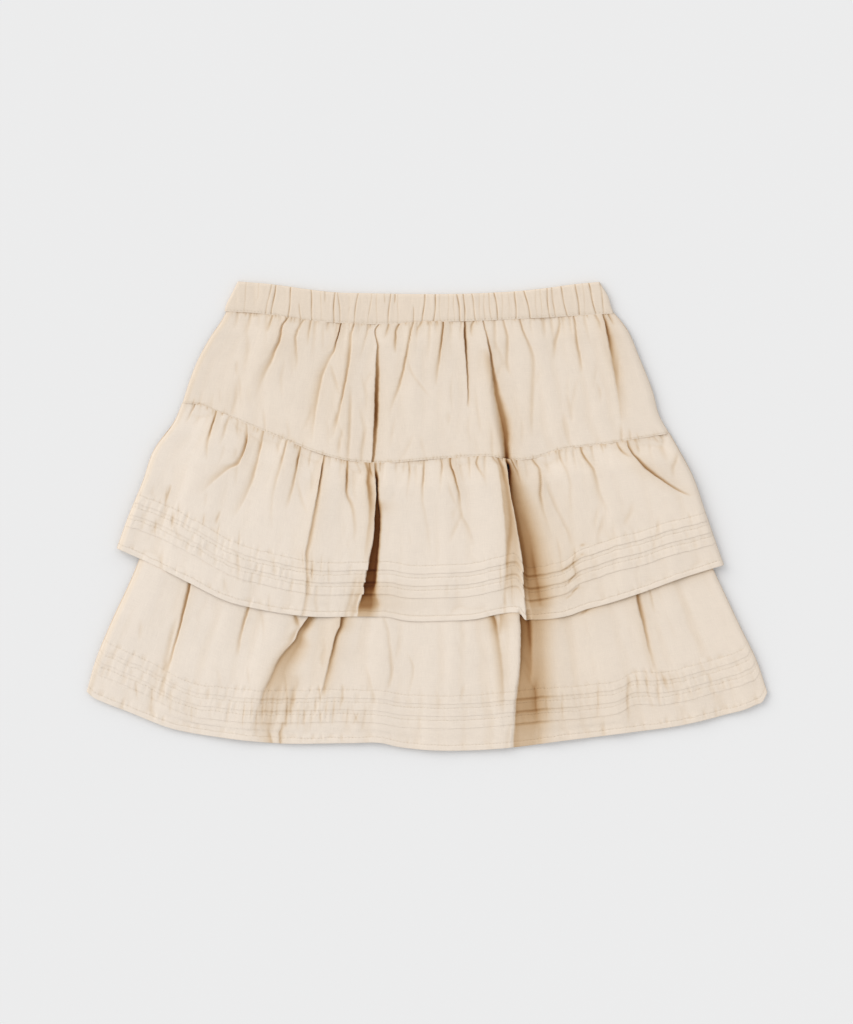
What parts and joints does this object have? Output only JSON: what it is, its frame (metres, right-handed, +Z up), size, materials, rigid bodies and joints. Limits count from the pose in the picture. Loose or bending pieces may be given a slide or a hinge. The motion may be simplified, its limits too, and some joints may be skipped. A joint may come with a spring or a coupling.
{
  "type": "tiered ruffle skirt",
  "caption": "Short tiered skirt laid flat: an elastic casing waist, a gathered upper tier, and two overlapping ruffles with pin tucks above their hems.",
  "frame": {"origin": "middle of the skirt's outline, on the surface that it lies on", "axes": "+Z up out of the skirt's front, +Y from the hem to the waist, +X to the right of someone who looks down at the front"},
  "size_m": [0.612, 0.422, 0.0137],
  "materials": {
    "skirt_cotton": "matte plain-weave cotton, cream",
    "waistband_cotton": "matte plain-weave cotton, cream, gathered on elastic",
    "stitching": "matte sewing thread, cream"
  },
  "bodies": {
    "root": {"waistband_front": "waistband_cotton", "waistband_back": "waistband_cotton", "upper_front": "skirt_cotton", "upper_back": "skirt_cotton", "middle_front": "skirt_cotton", "middle_back": "skirt_cotton", "lower_front": "skirt_cotton", "lower_back": "skirt_cotton"}
  },
  "joints": []
}
